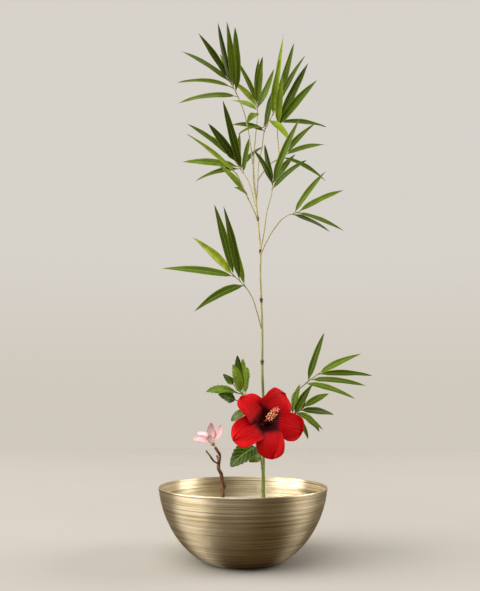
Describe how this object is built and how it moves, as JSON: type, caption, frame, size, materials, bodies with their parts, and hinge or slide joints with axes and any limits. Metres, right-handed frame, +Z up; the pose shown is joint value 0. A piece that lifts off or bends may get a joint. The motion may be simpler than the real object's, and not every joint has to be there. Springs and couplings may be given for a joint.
{
  "type": "ikebana arrangement",
  "caption": "Ikebana arrangement: leafy bamboo branch, red hibiscus and pale pink blossom standing on a kenzan in a round brass bowl of water.",
  "frame": {"origin": "centre of the flat foot under the bowl", "axes": "+Z up along the bamboo, -Y towards the front, where the hibiscus faces"},
  "size_m": [0.3356, 0.25, 0.8403],
  "materials": {
    "bowl": "champagne-gold brass with fine turned ridges",
    "kenzan": "dull grey lead disc with brass pins",
    "water": "clear still water",
    "bamboo_cane": "straw-green cane with dark rings",
    "bamboo_leaf": "satin green blades, paler below",
    "hibiscus_stem": "smooth yellow-green bark",
    "hibiscus_leaf": "glossy dark green, toothed edge",
    "hibiscus_petal": "satin saturated red, dark throat",
    "stamens": "red column with orange pollen",
    "bark": "rough reddish-brown bark",
    "pink_calyx": "matt peach",
    "pink_petal": "soft pale pink, darker folds"
  },
  "bodies": {
    "root": {"bamboo_culm": "bamboo_cane", "bowl": "bowl", "hibiscus_calyx": "hibiscus_stem", "hibiscus_leaf_back": "hibiscus_leaf", "hibiscus_leaf_folded": "hibiscus_leaf", "hibiscus_leaf_fore": "hibiscus_leaf", "hibiscus_leaf_lower": "hibiscus_leaf", "hibiscus_leaf_outer": "hibiscus_leaf", "hibiscus_leaf_rear": "hibiscus_leaf", "hibiscus_leaf_small": "hibiscus_leaf", "hibiscus_leaf_tall": "hibiscus_leaf", "hibiscus_leaf_upper": "hibiscus_leaf", "hibiscus_leaf_upright": "hibiscus_leaf", "hibiscus_petal_1": "hibiscus_petal", "hibiscus_petal_2": "hibiscus_petal", "hibiscus_petal_3": "hibiscus_petal", "hibiscus_petal_4": "hibiscus_petal", "hibiscus_petal_5": "hibiscus_petal", "hibiscus_stem": "hibiscus_stem", "kenzan": "kenzan", "pink_calyx": "pink_calyx", "pink_petal_back": "pink_petal", "pink_petal_front": "pink_petal", "pink_petal_left": "pink_petal", "pink_petal_right": "pink_petal", "pink_petal_upper": "pink_petal", "pink_twig": "bark", "shoot_far_right": "bamboo_leaf", "shoot_low_left": "bamboo_leaf", "shoot_lower_back": "bamboo_leaf", "shoot_lower_right": "bamboo_leaf", "shoot_middle_left": "bamboo_leaf", "shoot_middle_right": "bamboo_leaf", "shoot_right_high": "bamboo_leaf", "shoot_right_low": "bamboo_leaf", "shoot_top_left": "bamboo_leaf", "shoot_top_middle": "bamboo_leaf", "shoot_upper_left": "bamboo_leaf", "shoot_upper_right": "bamboo_leaf", "staminal_column": "stamens", "water": "water"}
  },
  "joints": []
}
